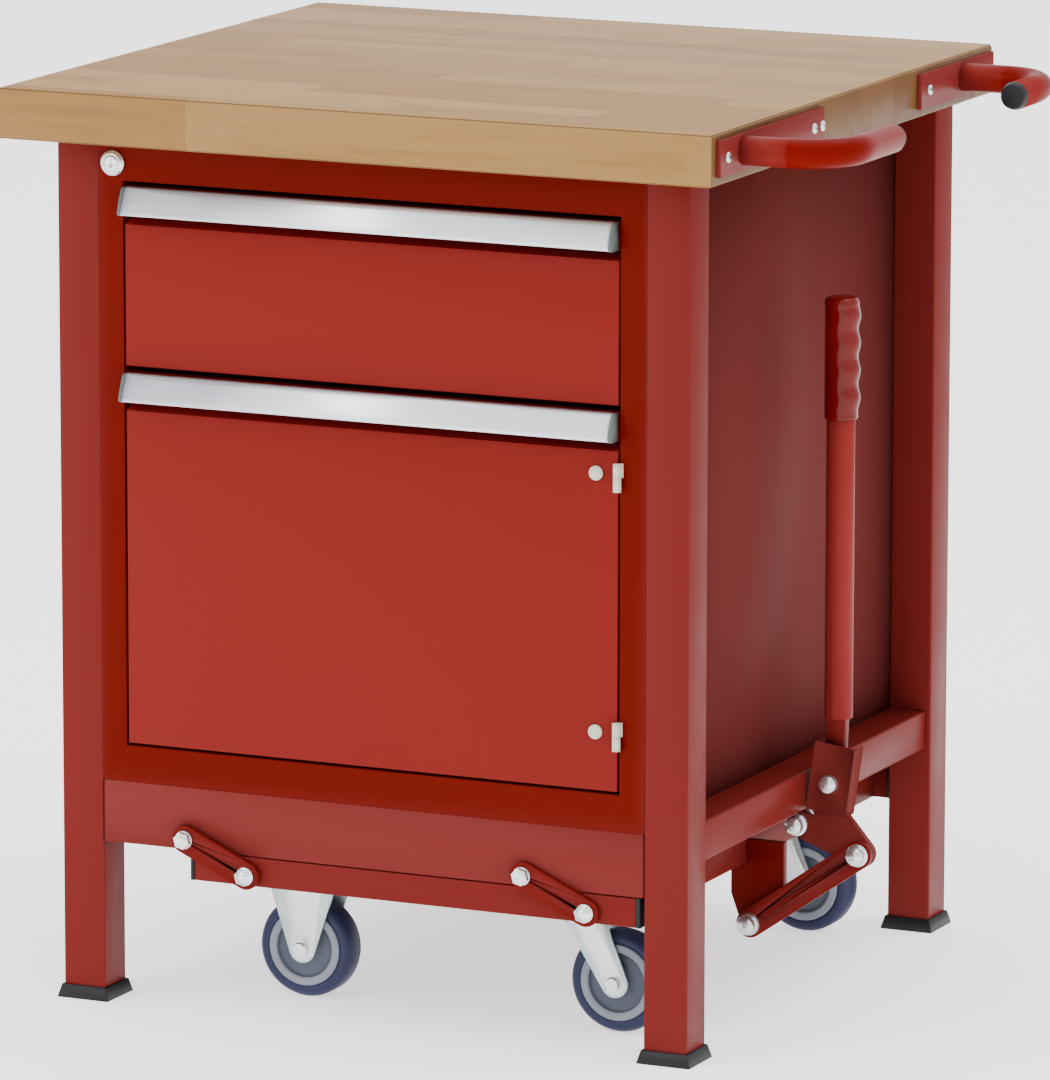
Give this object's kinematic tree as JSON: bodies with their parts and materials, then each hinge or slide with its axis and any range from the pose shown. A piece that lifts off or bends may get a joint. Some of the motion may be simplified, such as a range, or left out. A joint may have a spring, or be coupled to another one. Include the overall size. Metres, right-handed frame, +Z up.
{
  "type": "workbench with drawer and cupboard",
  "caption": "Steel-framed workbench with a beech top, a drawer over a hinged cupboard door, end handles and a lever-lowered caster chassis.",
  "frame": {"origin": "on the floor under the middle of the bounding box", "axes": "+X to the right of a person facing the drawer, +Y to the back, +Z up"},
  "size_m": [0.864, 0.715, 0.905],
  "materials": {
    "beech": "oiled butcher block",
    "black_plastic": "matt moulded",
    "front_red": "glossy powder coat",
    "frame_red": "glossy powder coat",
    "grip_vinyl": "dipped vinyl",
    "bright_zinc": "bright plated",
    "cream_paint": "satin",
    "anodised": "satin anodised",
    "grey_plastic": "matt moulded",
    "zinc": "zinc plated",
    "blue_tyre": "smooth tread",
    "hub_plastic": "moulded"
  },
  "bodies": {
    "bench": {"worktop": "beech", "leg_front_left": "frame_red", "leg_front_right": "frame_red", "leg_rear_left": "frame_red", "leg_rear_right": "frame_red", "feet": "black_plastic", "rail_front": "frame_red", "rail_rear": "frame_red", "rail_left": "frame_red", "rail_right": "frame_red", "cab_frame": "frame_red", "cab_side_left": "frame_red", "cab_side_right": "frame_red", "cab_back": "frame_red", "cab_floor": "frame_red", "cab_divider": "frame_red", "cab_shelf": "frame_red", "handle_plates": "frame_red", "handle_tubes": "front_red", "handle_caps": "black_plastic", "crank_bracket": "bright_zinc", "rail_bolts": "bright_zinc", "runners_fixed": "zinc", "lock_bezel": "bright_zinc", "hinge_posts": "cream_paint"},
    "drawer": {"drawer_front": "front_red", "drawer_box": "frame_red", "drawer_grip": "anodised", "drawer_grip_caps": "grey_plastic"},
    "runner_mid": {"runners_mid": "zinc"},
    "door": {"door_panel": "front_red", "door_hinges": "cream_paint", "door_grip": "anodised", "door_grip_caps": "grey_plastic"},
    "lock": {"lock_plug": "bright_zinc"},
    "chassis": {"chassis_bar_front": "frame_red", "chassis_bar_rear": "frame_red", "chassis_sides": "frame_red", "chassis_caps": "black_plastic", "chassis_bolts": "bright_zinc", "link_plate": "frame_red", "caster_plates": "zinc"},
    "swivel_front": {"fork_swivel_front": "zinc"},
    "swivel_rear": {"fork_swivel_rear": "zinc"},
    "wheel_front_left": {"tyre_front_left": "blue_tyre", "hub_front_left": "hub_plastic"},
    "wheel_front_right": {"tyre_front_right": "blue_tyre", "hub_front_right": "hub_plastic"},
    "wheel_rear_left": {"tyre_rear_left": "blue_tyre", "hub_rear_left": "hub_plastic"},
    "wheel_rear_right": {"tyre_rear_right": "blue_tyre", "hub_rear_right": "hub_plastic"},
    "crank": {"crank": "frame_red"},
    "lever": {"lever_tube": "front_red", "lever_grip": "grip_vinyl"},
    "link": {"link": "frame_red"},
    "arm_front_left": {"arm_front_left": "frame_red"},
    "arm_front_right": {"arm_front_right": "frame_red"},
    "arm_rear_left": {"arm_rear_left": "frame_red"},
    "arm_rear_right": {"arm_rear_right": "frame_red"}
  },
  "joints": [
    {"name": "drawer_slide", "type": "slide", "parent": "bench", "child": "drawer", "axis": [0, -1, 0], "range_m": [0, 0.45]},
    {"name": "runner_slide", "type": "slide", "parent": "bench", "child": "runner_mid", "axis": [0, -1, 0], "range_m": [0, 0.226]},
    {"name": "door_hinge", "type": "hinge", "parent": "bench", "child": "door", "pos_m": [0.205, -0.3165, 0.4415], "axis": [0, 0, 1], "range_deg": [0, 105]},
    {"name": "lock_turn", "type": "hinge", "parent": "bench", "child": "lock", "pos_m": [-0.33, -0.3145, 0.832], "axis": [0, 1, 0], "range_deg": [0, 90]},
    {"name": "lift_lever", "type": "hinge", "parent": "bench", "child": "crank", "pos_m": [0.265, -0.0105, 0.176], "axis": [0, 1, 0], "range_deg": [0, 73.4]},
    {"name": "lever_fold", "type": "hinge", "parent": "crank", "child": "lever", "pos_m": [0.298, -0.0025, 0.219], "axis": [0, 1, 0], "range_deg": [0, 8]},
    {"name": "link_pivot", "type": "hinge", "parent": "crank", "child": "link", "pos_m": [0.331, -0.019, 0.152], "axis": [0, 1, 0], "range_deg": [-71.6, 0]},
    {"name": "chassis_pivot", "type": "hinge", "parent": "arm_front_left", "child": "chassis", "pos_m": [-0.188, -0.316, 0.1425], "axis": [0, 1, 0], "range_deg": [-70.6, 0]},
    {"name": "arm_front_left_pivot", "type": "hinge", "parent": "bench", "child": "arm_front_left", "pos_m": [-0.254, -0.316, 0.1725], "axis": [0, 1, 0], "range_deg": [0, 70.6]},
    {"name": "arm_front_right_pivot", "type": "hinge", "parent": "bench", "child": "arm_front_right", "pos_m": [0.108, -0.316, 0.1725], "axis": [0, 1, 0], "range_deg": [0, 70.6]},
    {"name": "arm_rear_left_pivot", "type": "hinge", "parent": "bench", "child": "arm_rear_left", "pos_m": [-0.254, 0.347, 0.1725], "axis": [0, 1, 0], "range_deg": [0, 70.6]},
    {"name": "arm_rear_right_pivot", "type": "hinge", "parent": "bench", "child": "arm_rear_right", "pos_m": [0.108, 0.347, 0.1725], "axis": [0, 1, 0], "range_deg": [0, 70.6]},
    {"name": "swivel_front_turn", "type": "hinge", "parent": "chassis", "child": "swivel_front", "pos_m": [0.13, -0.2025, 0.115], "axis": [0, 0, 1], "continuous": true},
    {"name": "wheel_front_left_roll", "type": "hinge", "parent": "chassis", "child": "wheel_front_left", "pos_m": [-0.174, -0.2025, 0.0505], "axis": [0, 1, 0], "continuous": true},
    {"name": "wheel_front_right_roll", "type": "hinge", "parent": "swivel_front", "child": "wheel_front_right", "pos_m": [0.162, -0.2025, 0.0505], "axis": [0, 1, 0], "continuous": true},
    {"name": "swivel_rear_turn", "type": "hinge", "parent": "chassis", "child": "swivel_rear", "pos_m": [0.13, 0.2575, 0.115], "axis": [0, 0, 1], "continuous": true},
    {"name": "wheel_rear_left_roll", "type": "hinge", "parent": "chassis", "child": "wheel_rear_left", "pos_m": [-0.174, 0.2575, 0.0505], "axis": [0, 1, 0], "continuous": true},
    {"name": "wheel_rear_right_roll", "type": "hinge", "parent": "swivel_rear", "child": "wheel_rear_right", "pos_m": [0.162, 0.2575, 0.0505], "axis": [0, 1, 0], "continuous": true}
  ],
  "couplings": [
    {"joint": "runner_slide", "follows": "drawer_slide", "ratio": 0.5},
    {"joint": "arm_front_left_pivot", "follows": "lift_lever", "ratio": 0.9597},
    {"joint": "arm_front_right_pivot", "follows": "lift_lever", "ratio": 0.9597},
    {"joint": "arm_rear_left_pivot", "follows": "lift_lever", "ratio": 0.9597},
    {"joint": "arm_rear_right_pivot", "follows": "lift_lever", "ratio": 0.9597},
    {"joint": "chassis_pivot", "follows": "lift_lever", "ratio": -0.9597},
    {"joint": "link_pivot", "follows": "lift_lever", "ratio": -0.9731}
  ]
}
